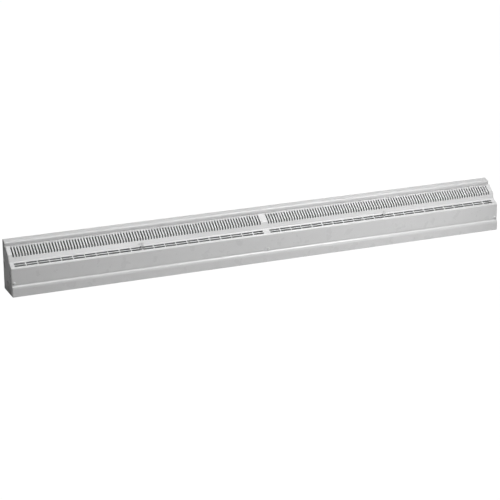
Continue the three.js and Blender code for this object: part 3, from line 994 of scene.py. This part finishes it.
class OUTLET_OT_stage(bpy.types.Operator):
    """Set the floor, the soft lights and the camera"""

    bl_idname = "outlet.stage"
    bl_label = "Stage"

    def execute(self, context):
        scene, studio = context.scene, context.scene.outlet_studio
        self.floor(studio)
        world = bpy.data.worlds.new("soft_room")
        world.use_nodes = True
        back = world.node_tree.nodes["Background"]
        back.inputs["Color"].default_value = (1, 1, 1, 1)
        back.inputs["Strength"].default_value = studio.room
        scene.world = world
        for name, spot, target, sides in LAMPS:
            self.area(name, getattr(studio, name), spot, target, sides)
        camera = bpy.data.objects.new("camera", bpy.data.cameras.new("camera"))
        scene.collection.objects.link(camera)
        camera.data.lens, camera.data.sensor_width = studio.lens, 36
        camera.data.clip_end = 100
        camera.location = studio.camera_place
        camera.rotation_euler = (radians(90 - studio.camera_fall), 0, -radians(studio.camera_turn))
        scene.camera = camera
        scene.view_settings.view_transform = "Standard"
        return {"FINISHED"}

    def floor(self, studio):
        span = 14
        floor = mesh_object(
            "floor", [(-span, -span, 0), (span, -span, 0), (span, span, 0), (-span, span, 0)], [(0, 1, 2, 3)]
        )
        floor.location.z = -0.0005
        made, tree, shader = material("pale_floor")
        place_from = add(tree, "ShaderNodeTexCoord").outputs["Object"]
        tone = blended(tree, noise(tree, place_from, 3.0), rgba(studio.floor, 0.985), rgba(studio.floor))
        tree.links.new(tone, shader.inputs["Base Color"])
        shader.inputs["Roughness"].default_value = 0.9
        glow = add(tree, "ShaderNodeEmission", Color=(1, 1, 1, 1), Strength=studio.floor_glow)
        seen = add(tree, "ShaderNodeLightPath").outputs["Is Camera Ray"]
        share = add(
            tree, "ShaderNodeMath", {"operation": "MULTIPLY"}, _0=seen, _1=studio.floor_even
        ).outputs[0]
        mix = add(tree, "ShaderNodeMixShader", _0=share, _1=shader.outputs[0], _2=glow.outputs[0])
        tree.links.new(mix.outputs[0], tree.nodes["Material Output"].inputs["Surface"])
        floor.data.materials.append(made)

    def area(self, name, energy, spot, target, sides):
        lamp = bpy.data.lights.new(name, "AREA")
        lamp.shape, lamp.size, lamp.size_y = "RECTANGLE", *sides
        lamp.energy = energy
        holder = bpy.data.objects.new(name, lamp)
        holder.location, holder.visible_camera = spot, False
        holder.rotation_euler = (Vector(target) - Vector(spot)).to_track_quat("-Z", "Y").to_euler()
        bpy.context.scene.collection.objects.link(holder)


# ---------------------------------------------------------------- add-on


class OutletSheet(bpy.types.PropertyGroup):
    """Sizes of the sheet metal."""

    thickness: FloatProperty(
        name="Thickness", description="Thickness of the white sheet", default=0.001, unit="LENGTH"
    )
    cut_edge: FloatProperty(
        name="Cut edge", description="Rounding of sheared edges", default=0.0002, unit="LENGTH"
    )
    punched_edge: FloatProperty(
        name="Punched edge", description="Rounding of the slots' edges", default=0.00016, unit="LENGTH"
    )


class OutletSlots(bpy.types.PropertyGroup):
    """The punched pattern of the face."""

    per_half: IntProperty(
        name="Slots per half", description="Upright slots on each side of the middle", default=89
    )
    width: FloatProperty(
        name="Slot width", description="Width of an upright slot", default=0.0032, unit="LENGTH"
    )
    crown: FloatProperty(
        name="Bar crown", description="How far the bars bulge", default=0.0006, unit="LENGTH"
    )
    dashes: IntProperty(name="Dashes per half", description="Dash slots in one row of one half", default=22)
    dash_web: FloatProperty(
        name="Dash web", description="Metal between two dashes", default=0.0022, unit="LENGTH"
    )
    dash_height: FloatProperty(
        name="Dash height", description="Height of a dash slot", default=0.0042, unit="LENGTH"
    )
    lever_width: FloatProperty(
        name="Lever slot", description="Width of a lever's slot", default=0.0065, unit="LENGTH"
    )
    lever_strip: FloatProperty(
        name="Lever", description="Width of a lever's strip", default=0.0055, unit="LENGTH"
    )


class OutletFinish(bpy.types.PropertyGroup):
    """Colours of the finishes."""

    enamel: FloatVectorProperty(
        name="Enamel", description="White baked enamel",
        subtype="COLOR", default=(0.83, 0.83, 0.83), min=0, max=1,
    )
    enamel_roughness: FloatProperty(name="Enamel roughness", description="0 is a mirror", default=0.28)
    # Dark grey painted inside the case as painted shade.
    painted_shade: FloatVectorProperty(
        name="Primer", description="Grey primer inside the case",
        subtype="COLOR", default=(0.2, 0.2, 0.2), min=0, max=1,
    )
    # Darker than clean zinc: partly the metal's own grey, partly painted shade, so the blades and brackets
    # inside look dark through the slots. The fixings share it.
    zinc: FloatVectorProperty(
        name="Zinc", description="Zinc-coated steel",
        subtype="COLOR", default=(0.3, 0.306, 0.318), min=0, max=1,
    )
    spring: FloatVectorProperty(
        name="Spring steel", description="Clips and washers",
        subtype="COLOR", default=(0.2, 0.205, 0.21), min=0, max=1,
    )


class OutletStudio(bpy.types.PropertyGroup):
    """Lights, floor and camera."""

    room: FloatProperty(name="Room", description="Strength of the even light of the room", default=0.0)
    over_left: FloatProperty(
        name="Over left", description="Lamp above the left half", default=3.4, unit="POWER"
    )
    over_right: FloatProperty(
        name="Over right", description="Lamp above the right half", default=4.7, unit="POWER"
    )
    front_near: FloatProperty(name="Front near", description="Low lamp in front", default=3.9, unit="POWER")
    over_middle: FloatProperty(
        name="Over middle", description="Long lamp overhead", default=3.8, unit="POWER"
    )
    low_card: FloatProperty(
        name="Low card", description="Card on the floor at the right", default=0.4, unit="POWER"
    )
    floor: FloatVectorProperty(
        name="Floor", description="Colour of the floor",
        subtype="COLOR", default=(0.45, 0.45, 0.45), min=0, max=1,
    )
    floor_glow: FloatProperty(name="Floor white", description="Brightness of the backdrop", default=1.05)
    floor_even: FloatProperty(
        name="Floor evenness", description="1 hides every shadow on the floor", default=0.97
    )
    lens: FloatProperty(name="Lens", description="Focal length in millimetres", default=123.18)
    camera_place: FloatVectorProperty(
        name="Camera", description="Where the camera stands",
        subtype="TRANSLATION", default=(-1.51374, -3.45384, 1.2966),
    )
    camera_fall: FloatProperty(name="Camera fall", description="Degrees below level", default=18.729)
    camera_turn: FloatProperty(
        name="Camera turn", description="Degrees to the right of square on", default=23.21
    )


class OUTLET_PT_panel(bpy.types.Panel):
    """Buttons that build the outlet, in order."""

    bl_idname = "OUTLET_PT_panel"
    bl_label = "Air outlet"
    bl_space_type = "VIEW_3D"
    bl_region_type = "UI"
    bl_category = "Air outlet"

    def draw(self, context):
        for step in STEPS:
            self.layout.operator(step.bl_idname)
        for holder in HOLDERS:
            settings = getattr(context.scene, holder)
            for name in settings.__annotations__:
                self.layout.prop(settings, name)


STEPS = [
    OUTLET_OT_stage,
    OUTLET_OT_face,
    OUTLET_OT_rear,
    OUTLET_OT_toe,
    OUTLET_OT_caps,
    OUTLET_OT_levers,
    OUTLET_OT_screws,
    OUTLET_OT_inner,
    OUTLET_OT_fixings,
]
HOLDERS = {
    "outlet_sheet": OutletSheet,
    "outlet_slots": OutletSlots,
    "outlet_finish": OutletFinish,
    "outlet_studio": OutletStudio,
}


def register():
    for made in (*HOLDERS.values(), *STEPS, OUTLET_PT_panel):
        bpy.utils.register_class(made)
    for holder, made in HOLDERS.items():
        setattr(bpy.types.Scene, holder, PointerProperty(type=made))


def unregister():
    for holder in HOLDERS:
        delattr(bpy.types.Scene, holder)
    for made in (OUTLET_PT_panel, *reversed(STEPS), *HOLDERS.values()):
        bpy.utils.unregister_class(made)


def main():
    register()
    for step in STEPS:
        area, name = step.bl_idname.split(".")
        getattr(getattr(bpy.ops, area), name)()


if __name__ == "__main__":
    main()
